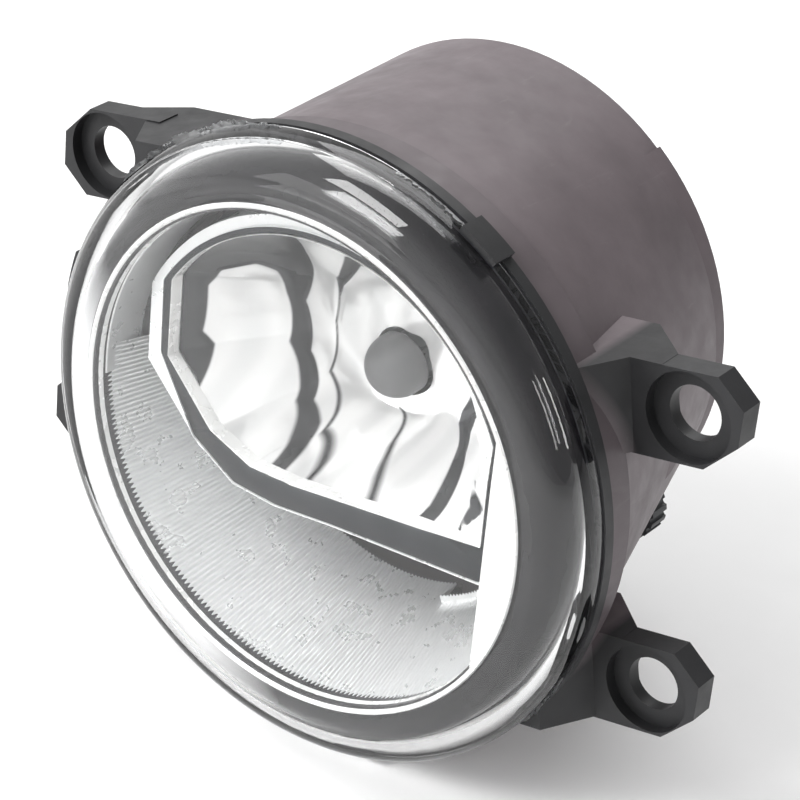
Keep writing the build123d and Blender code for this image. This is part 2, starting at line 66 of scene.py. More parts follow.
seam_y = lens_high.y - 0.0006
seal_low, seal_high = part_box("bulb_seal_ring")
bulb_x = (seal_low.x + seal_high.x) / 2
bulb_z = (seal_low.z + seal_high.z) / 2
bulb_fx = bulb_x * 1000
bulb_fz = (bulb_z - axis_z) * 1000


def at(x, y, z):
    """A point of the flange frame, given in millimetres, as a place in the scene."""
    return Vector((x / 1000, seam_y + y / 1000, axis_z + z / 1000))


# ---------------------------------------------------------------- node helpers
def new_material(name):
    mat = bpy.data.materials.new(name)
    mat.use_nodes = True
    nt = mat.node_tree
    shader = nt.nodes["Principled BSDF"]
    return mat, nt, shader


def noise(nt, scale, detail=4.0, roughness=0.55, stretch=None, distortion=0.0):
    """Noise over the object's own place, scale in cycles per metre."""
    coords = nt.nodes.new("ShaderNodeTexCoord")
    tex = nt.nodes.new("ShaderNodeTexNoise")
    tex.inputs["Scale"].default_value = scale
    tex.inputs["Detail"].default_value = detail
    tex.inputs["Roughness"].default_value = roughness
    tex.inputs["Distortion"].default_value = distortion
    if stretch:
        mapping = nt.nodes.new("ShaderNodeMapping")
        mapping.inputs["Scale"].default_value = stretch
        nt.links.new(coords.outputs["Object"], mapping.inputs["Vector"])
        nt.links.new(mapping.outputs["Vector"], tex.inputs["Vector"])
    else:
        nt.links.new(coords.outputs["Object"], tex.inputs["Vector"])
    return tex.outputs["Fac"]


def ramp(nt, source, stops):
    """Colour ramp; stops are (position, colour or grey)."""
    node = nt.nodes.new("ShaderNodeValToRGB")
    elements = node.color_ramp.elements
    while len(elements) < len(stops):
        elements.new(0.5)
    for element, (place, value) in zip(elements, stops):
        element.position = place
        colour = value if isinstance(value, tuple) else (value, value, value)
        element.color = (*colour, 1.0)
    nt.links.new(source, node.inputs["Fac"])
    return node.outputs["Color"]


def bump(nt, source, depth_mm, strength=1.0, below=None):
    node = nt.nodes.new("ShaderNodeBump")
    node.inputs["Distance"].default_value = depth_mm / 1000
    node.inputs["Strength"].default_value = strength
    nt.links.new(source, node.inputs["Height"])
    if below is not None:
        nt.links.new(below, node.inputs["Normal"])
    return node.outputs["Normal"]


def blend_colours(nt, factor, a, b, mode="MIX"):
    node = nt.nodes.new("ShaderNodeMix")
    node.data_type = "RGBA"
    node.blend_type = mode
    for socket, value in ((node.inputs[0], factor), (node.inputs[6], a), (node.inputs[7], b)):
        if isinstance(value, (int, float)):
            socket.default_value = value
        elif isinstance(value, tuple):
            socket.default_value = (*value, 1.0)
        else:
            nt.links.new(value, socket)
    return node.outputs[2]


def moulded(name, dark, light, rough=(0.35, 0.5), grain=1400, grain_depth=0.02, metallic=0.0):
    """Moulded or cast surface: mottled colour, uneven gloss and fine grain."""
    mat, nt, shader = new_material(name)
    mottle = noise(nt, 90, 5.0)
    colour = ramp(nt, mottle, [(0.3, dark), (0.7, light)])
    gloss = ramp(nt, noise(nt, 260, 4.0), [(0.3, rough[0]), (0.7, rough[1])])
    nt.links.new(colour, shader.inputs["Base Color"])
    nt.links.new(gloss, shader.inputs["Roughness"])
    normal = bump(nt, noise(nt, grain, 3.0), grain_depth, 0.6)
    normal = bump(nt, noise(nt, 60, 2.0), 0.12, 0.25, below=normal)
    nt.links.new(normal, shader.inputs["Normal"])
    shader.inputs["Metallic"].default_value = metallic
    return mat


def metal(name, dark, light, rough, grain=900, grain_depth=0.004):
    """Metal or metallised plastic: near mirror, with faint haze and ripple."""
    mat, nt, shader = new_material(name)
    haze = noise(nt, 120, 5.0)
    nt.links.new(ramp(nt, haze, [(0.3, dark), (0.7, light)]), shader.inputs["Base Color"])
    gloss = ramp(nt, noise(nt, 300, 5.0), [(0.3, rough[0]), (0.7, rough[1])])
    nt.links.new(gloss, shader.inputs["Roughness"])
    normal = bump(nt, noise(nt, grain, 2.0), grain_depth, 0.5)
    nt.links.new(normal, shader.inputs["Normal"])
    shader.inputs["Metallic"].default_value = 1.0
    return mat


def clear(name, tint, rough, wave=0.0):
    """Clear moulding: it bends what is seen through it and lets the lamps' light straight in."""
    mat, nt, shader = new_material(name)
    shader.inputs["Transmission Weight"].default_value = 1.0
    shader.inputs["IOR"].default_value = 1.42
    shader.inputs["Specular IOR Level"].default_value = 0.26
    haze = noise(nt, 70, 4.0)
    nt.links.new(ramp(nt, haze, [(0.35, tint), (0.7, (1.0, 1.0, 1.0))]), shader.inputs["Base Color"])
    gloss = ramp(nt, noise(nt, 400, 4.0), [(0.4, rough), (0.8, rough * 2.5)])
    nt.links.new(gloss, shader.inputs["Roughness"])
    if wave:
        nt.links.new(bump(nt, noise(nt, 45, 2.0), wave, 0.3), shader.inputs["Normal"])
    open_shader = nt.nodes.new("ShaderNodeBsdfTransparent")
    path = nt.nodes.new("ShaderNodeLightPath")
    mix = nt.nodes.new("ShaderNodeMixShader")
    nt.links.new(path.outputs["Is Shadow Ray"], mix.inputs[0])
    nt.links.new(shader.outputs[0], mix.inputs[1])
    nt.links.new(open_shader.outputs[0], mix.inputs[2])
    nt.links.new(mix.outputs[0], nt.nodes["Material Output"].inputs["Surface"])
    return mat


# ---------------------------------------------------------------- materials
# where the can, painted lighter as painted sheen, ends and the black arms begin, from the lens axis, and
# the flange's back
can_edge, arm_start, flange_back = 0.0478, 0.0496, 0.0033


def housing_plastic():
    """Black moulding: the can is painted a lighter mauve grey as painted sheen and carries scuff streaks;
    the arms stay deep black.
    """
    mat, nt, shader = new_material("housing_black")
    coords = nt.nodes.new("ShaderNodeTexCoord")
    place = nt.nodes.new("ShaderNodeMapping")
    place.inputs["Location"].default_value = (0.0, 0.0, -axis_z)
    place.inputs["Scale"].default_value = (1.0, 0.0, 1.0)
    nt.links.new(coords.outputs["Object"], place.inputs["Vector"])
    length = nt.nodes.new("ShaderNodeVectorMath")
    length.operation = "LENGTH"
    nt.links.new(place.outputs["Vector"], length.inputs[0])
    spread = nt.nodes.new("ShaderNodeMapRange")
    spread.inputs["From Min"].default_value = can_edge
    spread.inputs["From Max"].default_value = arm_start
    nt.links.new(length.outputs["Value"], spread.inputs["Value"])
    depth = nt.nodes.new("ShaderNodeSeparateXYZ")
    nt.links.new(coords.outputs["Object"], depth.inputs["Vector"])
    front = nt.nodes.new("ShaderNodeMapRange")
    front.inputs["From Min"].default_value = seam_y + flange_back
    front.inputs["From Max"].default_value = seam_y + flange_back - 0.0005
    nt.links.new(depth.outputs["Y"], front.inputs["Value"])
    either = nt.nodes.new("ShaderNodeMath")
    either.operation = "MAXIMUM"
    nt.links.new(spread.outputs["Result"], either.inputs[0])
    nt.links.new(front.outputs["Result"], either.inputs[1])
    out = either.outputs["Value"]
    mottle = noise(nt, 55, 6.0, 0.6)
    # painted sheen: the can's lighter mauve grey stands in for light on its surface; the scuff streaks
    # below are wear
    can = ramp(nt, mottle, [(0.3, (0.108, 0.089, 0.096)), (0.72, (0.160, 0.133, 0.143))])
    arm = ramp(nt, mottle, [(0.3, (0.017, 0.017, 0.018)), (0.72, (0.028, 0.028, 0.030))])
    streaks = noise(nt, 300, 7.0, 0.72, stretch=(1.0, 0.14, 1.0), distortion=1.2)
    marks = ramp(nt, streaks, [(0.60, 0.0), (0.74, 0.5)])
    can = blend_colours(nt, marks, can, (0.20, 0.18, 0.185))
    nt.links.new(blend_colours(nt, out, can, arm), shader.inputs["Base Color"])
    gloss = ramp(nt, noise(nt, 240, 5.0), [(0.3, 0.40), (0.7, 0.56)])
    nt.links.new(gloss, shader.inputs["Roughness"])
    shader.inputs["Specular IOR Level"].default_value = 0.35
    normal = bump(nt, noise(nt, 1500, 3.0), 0.02, 0.5)
    normal = bump(nt, noise(nt, 50, 2.0), 0.15, 0.25, below=normal)
    nt.links.new(normal, shader.inputs["Normal"])
    return mat


housing_mat = housing_plastic()
shroud_mat = moulded("shroud_gloss_black", (0.012, 0.012, 0.014), (0.028, 0.027, 0.030), (0.12, 0.2),
                     grain=500, grain_depth=0.006)
lens_mat = clear("lens_clear", (0.985, 0.99, 0.99), 0.012, wave=0.05)
bulb_glass_mat = clear("quartz_clear", (0.97, 0.98, 0.99), 0.01)
bowl_mat = moulded("bowl_metallised", (0.80, 0.81, 0.81), (0.85, 0.855, 0.855), (0.26, 0.32),
                   grain=900, grain_depth=0.003, metallic=0.6)
rim_mat = moulded("rim_white_metal", (0.80, 0.80, 0.79), (0.90, 0.90, 0.89), (0.22, 0.32), metallic=0.35)
# painted shade: the lip is metallised like the bowl, and its near-black colour stands in for the shade on
# it
lip_shade_mat = metal("lip_shadowed_metal", (0.030, 0.032, 0.035), (0.045, 0.047, 0.051), (0.28, 0.34),
                grain=120, grain_depth=0.002)
seam_mat = moulded("seam_bead", (0.018, 0.018, 0.02), (0.045, 0.045, 0.05), (0.25, 0.45), grain=700)
rubber_mat = moulded("boot_rubber", (0.012, 0.012, 0.012), (0.028, 0.027, 0.027), (0.55, 0.72), grain=2200)
bearing_mat = moulded("bearing_white", (0.72, 0.71, 0.67), (0.80, 0.79, 0.76), (0.35, 0.5))
membrane_mat = moulded("membrane", (0.75, 0.75, 0.74), (0.85, 0.85, 0.84), (0.7, 0.85), grain=5000)
zinc_mat = metal("zinc_plate", (0.50, 0.51, 0.54), (0.68, 0.68, 0.69), (0.25, 0.42), grain_depth=0.01)
spring_mat = metal("spring_steel", (0.28, 0.28, 0.30), (0.42, 0.42, 0.43), (0.28, 0.4))
wheel_mat = moulded("wheel_black", (0.014, 0.015, 0.017), (0.03, 0.031, 0.034), (0.38, 0.5), grain=1800)
base_mat = moulded("bulb_base_black", (0.022, 0.022, 0.023), (0.045, 0.045, 0.046), (0.4, 0.55))
contact_mat = metal("tinned_contact", (0.62, 0.58, 0.48), (0.76, 0.71, 0.58), (0.22, 0.35))
ring_mat = moulded("seal_ring", (0.16, 0.05, 0.04), (0.24, 0.075, 0.06), (0.45, 0.6))
cup_mat = metal("bulb_cup", (0.58, 0.58, 0.58), (0.72, 0.72, 0.72), (0.25, 0.4))
tip_mat = moulded("bulb_tip_coat", (0.115, 0.115, 0.118), (0.14, 0.14, 0.143), (0.5, 0.62), grain=3000,
                  grain_depth=0.01)
tungsten_mat = metal("tungsten", (0.30, 0.30, 0.31), (0.45, 0.45, 0.46), (0.3, 0.45))
flash_mat = clear("weld_flash", (0.80, 0.82, 0.84), 0.22)

finishes = {
    "lens": lens_mat, "lens_seal": seam_mat, "lens_clips": housing_mat, "housing": housing_mat,
    "pivot_bushes": bearing_mat, "vent_cap": rubber_mat, "vent_membrane": membrane_mat,
    "bezel": shroud_mat, "bezel_screws": zinc_mat, "reflector": bowl_mat, "pivot_pins": zinc_mat,
    "adjuster_nut": bearing_mat, "adjuster_screw": zinc_mat, "adjuster_wheel": wheel_mat,
    "adjuster_seal": rubber_mat, "adjuster_clip": spring_mat, "rear_boot": rubber_mat,
    "bulb_collar": base_mat, "bulb_base": base_mat, "bulb_terminals": contact_mat,
    "bulb_seal_ring": ring_mat, "bulb_cup": cup_mat, "bulb_glass": bulb_glass_mat,
    "bulb_tip_shade": tip_mat, "bulb_filament": tungsten_mat, "bulb_leads": cup_mat,
}
for name, mat in finishes.items():
    node = nodes[name]
    if not node.material_slots:
        node.data.materials.append(mat)
    for place in node.material_slots:
        place.material = mat


# ---------------------------------------------------------------- mesh helpers
def mesh_object(name, points, faces, mats, body, crease_angle=35, outward=True):
    """Smooth mesh from points in metres that rides on a body."""
    mesh = bpy.data.meshes.new(name)
    mesh.from_pydata([tuple(p) for p in points], [], faces)
    mesh.validate()
    if outward:
        work = bmesh.new()
        work.from_mesh(mesh)
        bmesh.ops.recalc_face_normals(work, faces=work.faces)
        work.to_mesh(mesh)
        work.free()
    obj = bpy.data.objects.new(name, mesh)
    bpy.context.scene.collection.objects.link(obj)
    for mat in mats:
        mesh.materials.append(mat)
    for polygon in mesh.polygons:
        polygon.use_smooth = True
    mesh.set_sharp_from_angle(angle=math.radians(crease_angle))
    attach(obj, body)
    return obj


def turned(profile, steps, centre=(0.0, 0.0), close=True, start=0.0, sweep=360.0, shape=None,
           shear=(0.0, 0.0)):
    """Points and faces of a profile of (radius, y) turned about an axis along Y."""
    points, faces = [], []
    full = abs(sweep - 360.0) < 1e-6
    count = steps if full else steps + 1
    for i in range(count):
        angle = math.radians(start + sweep * i / steps)
        for r, y in profile:
            if shape:
                r, y = shape(r, y, angle)
            x = centre[0] + r * math.cos(angle) + shear[0] * y
            z = centre[1] + r * math.sin(angle) + shear[1] * y
            points.append(at(x, y, z))
    rows = len(profile)
    span = rows if close else rows - 1
    for i in range(steps):
        for j in range(span):
            a = (i % count) * rows + j
            b = (i % count) * rows + (j + 1) % rows
            c = ((i + 1) % count) * rows + (j + 1) % rows
            d = ((i + 1) % count) * rows + j
            faces.append((a, d, c, b))
    return points, faces


def arc(centre, radii, a0, a1, steps):
    """Points on an ellipse's arc in the (radius, y) plane."""
    return [
        (
            centre[0] + radii[0] * math.cos(math.radians(a0 + (a1 - a0) * i / steps)),
            centre[1] + radii[1] * math.sin(math.radians(a0 + (a1 - a0) * i / steps)),
        )
        for i in range(steps + 1)
    ]


# ---------------------------------------------------------------- lens
lens_front, lens_wall = -11.0, 1.6
edge_radius, dome_rise = 42.8, 3.0
face_radius = (edge_radius**2 + dome_rise**2) / (2 * dome_rise)


def dome(r, front):
    """Depth of the domed face at a radius."""
    return front + face_radius - math.sqrt(face_radius**2 - r * r)


def face_points(radius, front, order):
    return [(radius * k / 16, dome(radius * k / 16, front)) for k in order]


outer_face = face_points(edge_radius, lens_front, range(1, 15))
edge_round = [(42.15, -8.12), (42.62, -7.98), (43.0, -7.72), (43.45, -7.58)]
outer_skirt = arc((43.6, -1.2), (6.25, 6.3), -84, 0, 14)
flange = [(49.9, 0.45), (49.85, 0.6), (47.4, 0.6), (47.4, -1.2)]
inner_skirt = arc((42.6, -1.2), (4.8, 5.0), 0, -86, 12)[1:]
inner_face = face_points(41.6, lens_front + lens_wall, range(14, 0, -1))
lens_rows = [(0.02, lens_front)] + outer_face + edge_round + outer_skirt + flange
lens_rows += inner_skirt + inner_face + [(0.02, lens_front + lens_wall)]
# the front is set a little over from the flange
lens_points, lens_faces = turned(lens_rows, 192, close=False, shear=(-0.10, 0.09))
lens_skin = mesh_object("lens_skin", lens_points, lens_faces, [lens_mat], "housing")
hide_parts("lens")


# ---------------------------------------------------------------- weld flash round the seam
def ragged(seed, a0, a1, height, thick=0.25):
    """Thin ragged fin of squeezed-out weld between two angles."""
    rng = random.Random(seed)
    steps = int((a1 - a0) * 2.4)
    points, faces = [], []
    level = 0.5
    for i in range(steps + 1):
        t = i / steps
        angle = math.radians(a0 + (a1 - a0) * t)
        level = min(1.0, max(0.15, level + rng.uniform(-0.35, 0.35)))
        tall = height * math.sin(math.pi * min(1, max(0, t))) ** 0.5 * (0.35 + 0.65 * level)
        side = rng.uniform(-0.15, 0.15)
        for r, y in (
            (49.7, 0.5), (49.9 + tall * 0.5, 0.15 + side), (49.9 + tall, -0.1 + side * 2),
            (49.9 + tall * 0.5, 0.15 + side + thick), (49.7, 0.5 + thick),
        ):
            points.append(at(r * math.cos(angle), y, r * math.sin(angle)))
    for i in range(steps):
        for j in range(4):
            a = i * 5 + j
            faces.append((a, a + 5, a + 6, a + 1))
    return points, faces


flash_runs = ((104, 146, 1.3), (60, 80, 0.4), (320, 338, 0.6), (176, 190, 0.3))
for index, (a0, a1, height) in enumerate(flash_runs):
    points, faces = ragged(11 + index, a0, a1, height)
    mesh_object(f"weld_flash_{index + 1}", points, faces, [flash_mat], "housing",
                crease_angle=50)

# ---------------------------------------------------------------- bezel lining
flutes = 300
flute_depth = 0.17
nut_angle, nut_half_width, nut_clear_y = 308, 14, 17.0


def fluted(r, y, angle):
    """The lower bowl's inner face carries fine flutes; it stops short of the aiming nut."""
    if math.cos(angle - math.radians(nut_angle)) > math.cos(math.radians(nut_half_width)):
        y = min(y, nut_clear_y)
    wave = math.cos(flutes * angle) if math.sin(angle) < 0.2 else 0.0
    return r + flute_depth * wave, y


bowl_profile = []
for k in range(13):
    y = -4.0 + 25.5 * k / 12
    bowl_profile.append((38.3 - 7.2 * y / 22.0, y))
bowl_points, bowl_faces = turned(
    bowl_profile, 1320, close=False, start=176.0, sweep=190.0, shape=fluted
)
mesh_object("bowl_lining", bowl_points, bowl_faces, [bowl_mat], "housing",
            crease_angle=80, outward=False)
collar_points, collar_faces = turned(
    [(39.9, -4.2), (39.0, -3.6), (38.6, 0.0), (38.2, 3.0), (37.9, 5.5)], 160,
    close=False, start=-1.0, sweep=184.0,
)
mesh_object("bowl_upper", collar_points, collar_faces, [bowl_mat], "housing",
            outward=False)

rim_profile = [
    (39.0, -4.4), (39.3, -5.6), (39.7, -6.25), (40.2, -6.3), (40.45, -5.9), (40.5, -5.0),
    (40.3, -4.0),
]
rim_points, rim_faces = turned(rim_profile, 256, close=True)
mesh_object("rim_ring", rim_points, rim_faces, [rim_mat], "housing",
            crease_angle=60)


def skirt_finish():
    """Gloss black above and to the right; below and to the left painted near white as painted light,
    standing in for the bright surroundings seen through the clear lens skirt.
    """
    mat, nt, shader = new_material("skirt_lining")
    coords = nt.nodes.new("ShaderNodeTexCoord")
    toward_light_side = nt.nodes.new("ShaderNodeVectorMath")
    toward_light_side.operation = "DOT_PRODUCT"
    toward_light_side.inputs[1].default_value = (-18.8, 0.0, -11.8)
    nt.links.new(coords.outputs["Object"], toward_light_side.inputs[0])
    share = ramp(nt, toward_light_side.outputs["Value"], [(0.5, 0.0), (0.8, 1.0)])
    mottle = noise(nt, 90, 4.0)
    dark = ramp(nt, mottle, [(0.3, (0.006, 0.006, 0.007)), (0.7, (0.014, 0.013, 0.015))])
    # painted light: this near-white colour below and to the left stands in for the bright surroundings
    # seen through the clear skirt
    skirt_painted_light = ramp(nt, mottle, [(0.3, (0.72, 0.72, 0.73)), (0.7, (0.86, 0.86, 0.86))])
    nt.links.new(blend_colours(nt, share, dark, skirt_painted_light), shader.inputs["Base Color"])
    gloss = ramp(nt, noise(nt, 260, 4.0), [(0.3, 0.06), (0.7, 0.11)])
    nt.links.new(gloss, shader.inputs["Roughness"])
    shader.inputs["Specular IOR Level"].default_value = 0.25
    return mat


skirt_points, skirt_faces = turned(
    [(40.6, -5.7), (41.6, -5.9), (43.2, -5.3), (45.2, -4.0), (46.5, -2.3), (47.1, -0.4), (47.2, 0.5)],
    256, close=False,
)
mesh_object("skirt_lining", skirt_points, skirt_faces, [skirt_finish()], "housing",
            crease_angle=60, outward=False)


def plate(chord, radius, y, thick):
    """Flat plate with an upright inner edge, on the right of the rim."""
    points, faces = [], []
    half = math.acos(chord / radius)
    steps = 40
    for depth in (y, y + thick):
        for i in range(steps + 1):
            angle = -half + 2 * half * i / steps
            points.append(at(radius * math.cos(angle), depth, radius * math.sin(angle)))
        for i in range(steps + 1):
            angle = -half + 2 * half * i / steps
            points.append(at(chord, depth, radius * math.sin(angle)))
    n = steps + 1
    for i in range(steps):
        faces.append((i, i + 1, n + i + 1, n + i))
        faces.append((2 * n + i, 3 * n + i, 3 * n + i + 1, 2 * n + i + 1))
        faces.append((n + i, n + i + 1, 3 * n + i + 1, 3 * n + i))
    return points, faces


plate_points, plate_faces = plate(34.7, 40.0, -6.25, 1.9)
mesh_object("rim_plate", plate_points, plate_faces, [rim_mat], "housing",
            crease_angle=30)


# ---------------------------------------------------------------- reflector facets
def outline(low, left, right, radius):
    """Corners of a D-shaped opening: a low floor line, straight sides and a round top."""
    corners = list(low)
    left_top = math.sqrt(radius**2 - left**2)
    right_top = math.sqrt(radius**2 - right**2)
    corners.append((left, left_top))
    first, last = math.atan2(left_top, left), math.atan2(right_top, right)
    for i in range(1, 40):
        angle = first + (last - first) * i / 40
        corners.append((radius * math.cos(angle), radius * math.sin(angle)))
    corners.append((right, right_top))
    return corners


def reach(corners, angle):
    """How far the outline lies from the bulb's axis in a direction."""
    dx, dz = math.cos(angle), math.sin(angle)
    best = 1e9
    for (x0, z0), (x1, z1) in zip(corners, corners[1:] + corners[:1]):
        ex, ez = x1 - x0, z1 - z0
        det = ex * dz - dx * ez
        if abs(det) < 1e-12:
            continue
        t = (ex * (z0 - bulb_fz) - (x0 - bulb_fx) * ez) / det
        u = (dx * (z0 - bulb_fz) - dz * (x0 - bulb_fx)) / det
        if t > 0 and -1e-9 <= u <= 1 + 1e-9:
            best = min(best, t)
    return best


def line_distance(x, z, points):
    """Distance to an open chain of points."""
    best = 1e9
    for (x0, z0), (x1, z1) in zip(points, points[1:]):
        ex, ez = x1 - x0, z1 - z0
        t = max(0.0, min(1.0, ((x - x0) * ex + (z - z0) * ez) / (ex * ex + ez * ez)))
        best = min(best, math.hypot(x - x0 - t * ex, z - z0 - t * ez))
    return best


def inside_distance(x, z, corners):
    """Distance to a closed outline, positive inside."""
    closed = corners + corners[:1]
    inside = False
    for (x0, z0), (x1, z1) in zip(closed, closed[1:]):
        if (z0 > z) != (z1 > z) and x < x0 + (z - z0) * (x1 - x0) / (z1 - z0):
            inside = not inside
    distance = line_distance(x, z, closed)
    return distance if inside else -distance


dish_outline = outline(
    [(30.7, -2.6), (-4.0, -7.7), (-12.0, -8.0), (-20.0, -5.2), (-29.2, 4.0)], -29.2, 30.7, 33.9
)
lip_outline = outline(
    [(31.6, -8.6), (4.5, -11.2), (-7.0, -12.7), (-15.0, -12.4), (-23.4, -7.6), (-30.6, 4.2)],
    -30.8, 31.6, 35.0,
)
# steps between the facets, as x and z, painted dark as painted shade and painted reflection
# of the dark housing: round the left window and down to the floor, the bar on the right, the wedge
# in the corner and the one above the bulb
frame_step = [
    (-24.9, -1.5), (-31.0, 5.0), (-31.0, 20.0), (-24.0, 27.0), (-15.5, 33.0), (-13.2, 31.5),
    (-15.3, 24.1), (-19.3, 9.6), (-17.7, 1.4), (-13.8, -4.4), (-9.2, -7.0), (-5.7, -8.4),
    (-8.8, -8.4), (-11.5, -7.2), (-15.5, -4.3), (-20.3, 2.9), (-21.3, 11.6), (-21.4, 16.0),
    (-22.8, 18.0), (-26.0, 17.2), (-27.4, 14.5), (-27.6, 6.5), (-24.6, -0.6),
]
right_step = [
    (9.4, 5.0), (9.6, -0.7), (13.6, -2.9), (17.6, -4.2), (17.9, -5.2), (21.0, -4.6), (20.1, -3.6),
    (14.9, -1.6), (12.3, 1.0), (12.0, 5.0),
]
corner_step = [(22.0, -1.7), (26.2, -1.6), (25.2, -3.6)]
top_step = [
    (-12.5, 20.0), (-14.6, 15.4), (-15.3, 10.0), (-14.2, 13.5), (-11.0, 18.0), (-2.0, 14.5),
    (-2.0, 16.5),
]
# thin creases between the facets, painted dark along them as painted shade
creases = [
    [(-14.6, 15.4), (-15.7, 6.2), (-14.5, -1.5), (-9.1, -6.6), (-2.1, -7.6)],
    [(-3.2, -4.6), (1.4, -5.6), (11.9, -5.8)],
    [(20.6, -1.4), (25.0, -3.3)],
    [(-19.0, 19.5), (-24.0, 22.0), (-27.5, 19.5)],
]


facet_steps = (frame_step, right_step, corner_step, top_step)
bulb_hole, floor_radius = 5.7, 8.6
rim_depth, bowl_depth = 1.2, 22.8
crease_half_width = 0.16


def build_facets():
    """Bright free-form bowl behind the lip; the steps between its facets are painted dark as painted shade
    and reflection.
    """
    around, out = 420, 84
    points, faces, dark, reflection_tone = [], [], [], []
    for i in range(around):
        angle = 2 * math.pi * i / around
        far = reach(dish_outline, angle)
        soft = sum(reach(dish_outline, angle + math.radians(4 * k)) for k in range(-4, 5)) / 9
        for j in range(out + 1):
            edge = j / out
            r = bulb_hole + (far - bulb_hole) * edge
            span = far * edge**3 + soft * (1 - edge**3) - floor_radius
            s = min(1.0, max(0.0, r - floor_radius) / span)
            x = bulb_fx + r * math.cos(angle)
            z = bulb_fz + r * math.sin(angle)
            shaded_step = max(inside_distance(x, z, shape) for shape in facet_steps)
            line = min(line_distance(x, z, crease) for crease in creases)
            # painted reflection: soft upright bands of brighter and duller metal stand in for facets
            # reflecting different surroundings
            strip = 0.5 + 0.5 * math.sin(x * 1.15 + 0.18 * z + 0.6 * math.sin(x * 0.31))
            # painted shade: the facet steps and creases are marked here for a dark colour
            dark.append(max(shaded_step, crease_half_width - line))
            reflection_tone.append(strip)
            depth = rim_depth + bowl_depth * (1 - s**2)
            depth += 0.5 * max(0.0, min(1.0, shaded_step / 0.6))
            depth += 0.22 * strip - 0.3 * max(0.0, 0.6 - line)
            points.append(at(x, depth, z))
    rows = out + 1
    for i in range(around):
        for j in range(out):
            a = i * rows + j
            b = ((i + 1) % around) * rows + j
            faces.append((a, a + 1, b + 1, b))
    return points, faces, dark, reflection_tone


def facet_metal():
    """Bright metallised plastic: the facet steps and creases are painted dark as painted shade and
    reflection, and soft upright bands are painted reflection.
    """
    mat, nt, shader = new_material("facet_metal")
    shader.inputs["Metallic"].default_value = 0.5
    shaded_step = nt.nodes.new("ShaderNodeAttribute")
    shaded_step.attribute_name = "shaded_step"
    reflection_tone = nt.nodes.new("ShaderNodeAttribute")
    reflection_tone.attribute_name = "reflection_tone"
    bright = ramp(nt, reflection_tone.outputs["Fac"], [(0.1, (0.86, 0.86, 0.86)), (0.8, (0.97, 0.97, 0.965))])
    haze = ramp(nt, noise(nt, 70, 4.0), [(0.4, 0.0), (0.75, 0.3)])
    bright = blend_colours(nt, haze, bright, (0.88, 0.87, 0.865))
    # painted shade and reflection: marked steps and creases turn dark
    edge = nt.nodes.new("ShaderNodeMapRange")
    edge.inputs["From Min"].default_value = -0.10
    edge.inputs["From Max"].default_value = 0.12
    nt.links.new(shaded_step.outputs["Fac"], edge.inputs["Value"])
    mottle = noise(nt, 160, 4.0)
    shade = ramp(nt, mottle, [(0.3, (0.030, 0.031, 0.033)), (0.7, (0.055, 0.056, 0.060))])
    colour = blend_colours(nt, edge.outputs["Result"], bright, shade)
    nt.links.new(colour, shader.inputs["Base Color"])
    gloss = ramp(nt, noise(nt, 260, 4.0), [(0.3, 0.16), (0.7, 0.24)])
    nt.links.new(gloss, shader.inputs["Roughness"])
    return mat


facet_points, facet_faces, facet_painted_shade, facet_reflection_tone = build_facets()
facets = mesh_object("reflector_facets", facet_points, facet_faces, [facet_metal()], "reflector",
                     crease_angle=70, outward=False)
for name, values in (("shaded_step", facet_painted_shade), ("reflection_tone", facet_reflection_tone)):
    facets.data.attributes.new(name, "FLOAT", "POINT").data.foreach_set("value", values)


def band(inner, outer, rows, steps=420):
    """Closed band that runs round between two outlines; rows are (share across, y)."""
    points, faces = [], []
    for i in range(steps):
        angle = 2 * math.pi * i / steps
        near, far = reach(inner, angle), reach(outer, angle)
        for share, y in rows:
            r = near + (far - near) * share
            points.append(at(bulb_fx + r * math.cos(angle), y, bulb_fz + r * math.sin(angle)))
    count = len(rows)
    for i in range(steps):
        for j in range(count):
            a, b = i * count + j, i * count + (j + 1) % count
            c, d = ((i + 1) % steps) * count + (j + 1) % count, ((i + 1) % steps) * count + j
            faces.append((a, b, c, d))
    return points, faces


lip_bands = (
    ("reflector_lip", lip_shade_mat,
     [(0.06, 1.3), (0.05, -0.5), (0.12, -0.85), (0.92, -0.95), (1.0, -0.7), (1.0, 1.2)]),
    ("lip_bead", rim_mat,
     [(-0.06, 1.4), (-0.06, -0.5), (-0.03, -0.95), (0.03, -0.95), (0.05, -0.6), (0.05, 1.4)]),
    ("lip_edge", bowl_mat,
     [(0.98, 1.2), (0.98, -0.8), (0.99, -1.0), (1.03, -1.0), (1.04, -0.7), (1.04, 1.2)]),
)
for name, mat, rows in lip_bands:
    points, faces = band(dish_outline, lip_outline, rows)
    mesh_object(name, points, faces, [mat], "reflector", crease_angle=50)

# ---------------------------------------------------------------- rear boot with a fold
boot_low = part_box("rear_boot")[0]
boot_y = (boot_low.y - seam_y) * 1000
boot_shape = [
    (22.1, 0.2), (22.1, 3.6), (23.9, 3.9), (26.7, 4.1), (26.9, 4.8), (26.5, 5.4), (22.6, 5.6),
    (21.6, 5.0), (20.9, 4.2), (20.0, 3.8), (19.2, 4.3), (18.6, 5.5), (17.9, 6.5), (16.6, 6.9),
    (15.9, 6.2), (15.8, 4.6), (16.5, 3.4), (18.6, 2.6), (20.2, 1.6), (20.6, 0.2),
]
boot_rows = [(r, boot_y + y) for r, y in boot_shape]
boot_points, boot_faces = turned(boot_rows, 128, centre=(bulb_fx, bulb_fz), close=True)
boot = mesh_object("boot_folded", boot_points, boot_faces, [rubber_mat], "housing",
                   crease_angle=60)
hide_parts("rear_boot")


